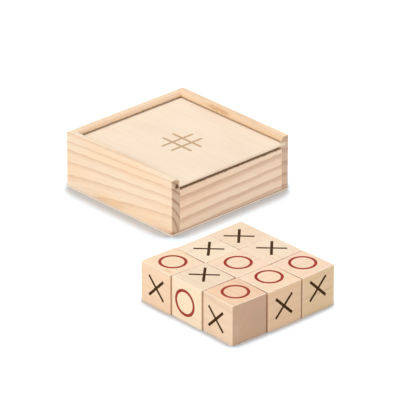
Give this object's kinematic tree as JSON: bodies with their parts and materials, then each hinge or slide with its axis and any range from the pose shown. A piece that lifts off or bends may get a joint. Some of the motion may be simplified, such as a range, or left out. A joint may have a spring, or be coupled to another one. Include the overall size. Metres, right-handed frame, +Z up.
{
  "type": "tic-tac-toe game",
  "caption": "Wooden tic-tac-toe game: a pine box with a sliding plywood lid, and loose cubes marked with crosses and noughts laid out in a square grid beside it.",
  "frame": {"origin": "middle of the box's underside, on the table that the box and the cubes stand on", "axes": "+X along the front of the box to its right, +Y from its front to its back, +Z up. The lid slides out towards -Y, and the cubes stand in front of the box and to its left"},
  "size_m": [0.1923, 0.2591, 0.043],
  "materials": {
    "pine": "planed pine with visible growth rings, unvarnished",
    "plywood": "fine sanded pale plywood, unvarnished",
    "cube_wood": "fine sanded pale wood, unvarnished",
    "black_paint": "matt brown-black paint",
    "red_paint": "matt red paint"
  },
  "bodies": {
    "box": {"left_wall": "pine", "right_wall": "pine", "front_wall": "pine", "back_wall": "pine", "base_panel": "plywood"},
    "lid": {"lid": "plywood"},
    "cube_back_left": {"cube_back_left": "cube_wood", "crosses_back_left": "black_paint", "noughts_back_left": "red_paint"},
    "cube_back_centre": {"cube_back_centre": "cube_wood", "crosses_back_centre": "black_paint", "noughts_back_centre": "red_paint"},
    "cube_back_right": {"cube_back_right": "cube_wood", "crosses_back_right": "black_paint", "noughts_back_right": "red_paint"},
    "cube_middle_left": {"cube_middle_left": "cube_wood", "crosses_middle_left": "black_paint", "noughts_middle_left": "red_paint"},
    "cube_middle_centre": {"cube_middle_centre": "cube_wood", "crosses_middle_centre": "black_paint", "noughts_middle_centre": "red_paint"},
    "cube_middle_right": {"cube_middle_right": "cube_wood", "crosses_middle_right": "black_paint", "noughts_middle_right": "red_paint"},
    "cube_front_left": {"cube_front_left": "cube_wood", "crosses_front_left": "black_paint", "noughts_front_left": "red_paint"},
    "cube_front_centre": {"cube_front_centre": "cube_wood", "crosses_front_centre": "black_paint", "noughts_front_centre": "red_paint"},
    "cube_front_right": {"cube_front_right": "cube_wood", "crosses_front_right": "black_paint", "noughts_front_right": "red_paint"}
  },
  "joints": [
    {"name": "lid_slide", "type": "slide", "parent": "box", "child": "lid", "axis": [0, -1, 0], "range_m": [0, 0.106]},
    {"name": "lift_back_left", "type": "slide", "parent": "box", "child": "cube_back_left", "axis": [0, 0, 1], "range_m": [0, 0.06]},
    {"name": "lift_back_centre", "type": "slide", "parent": "box", "child": "cube_back_centre", "axis": [0, 0, 1], "range_m": [0, 0.06]},
    {"name": "lift_back_right", "type": "slide", "parent": "box", "child": "cube_back_right", "axis": [0, 0, 1], "range_m": [0, 0.06]},
    {"name": "lift_middle_left", "type": "slide", "parent": "box", "child": "cube_middle_left", "axis": [0, 0, 1], "range_m": [0, 0.06]},
    {"name": "lift_middle_centre", "type": "slide", "parent": "box", "child": "cube_middle_centre", "axis": [0, 0, 1], "range_m": [0, 0.06]},
    {"name": "lift_middle_right", "type": "slide", "parent": "box", "child": "cube_middle_right", "axis": [0, 0, 1], "range_m": [0, 0.06]},
    {"name": "lift_front_left", "type": "slide", "parent": "box", "child": "cube_front_left", "axis": [0, 0, 1], "range_m": [0, 0.06]},
    {"name": "lift_front_centre", "type": "slide", "parent": "box", "child": "cube_front_centre", "axis": [0, 0, 1], "range_m": [0, 0.06]},
    {"name": "lift_front_right", "type": "slide", "parent": "box", "child": "cube_front_right", "axis": [0, 0, 1], "range_m": [0, 0.06]}
  ]
}
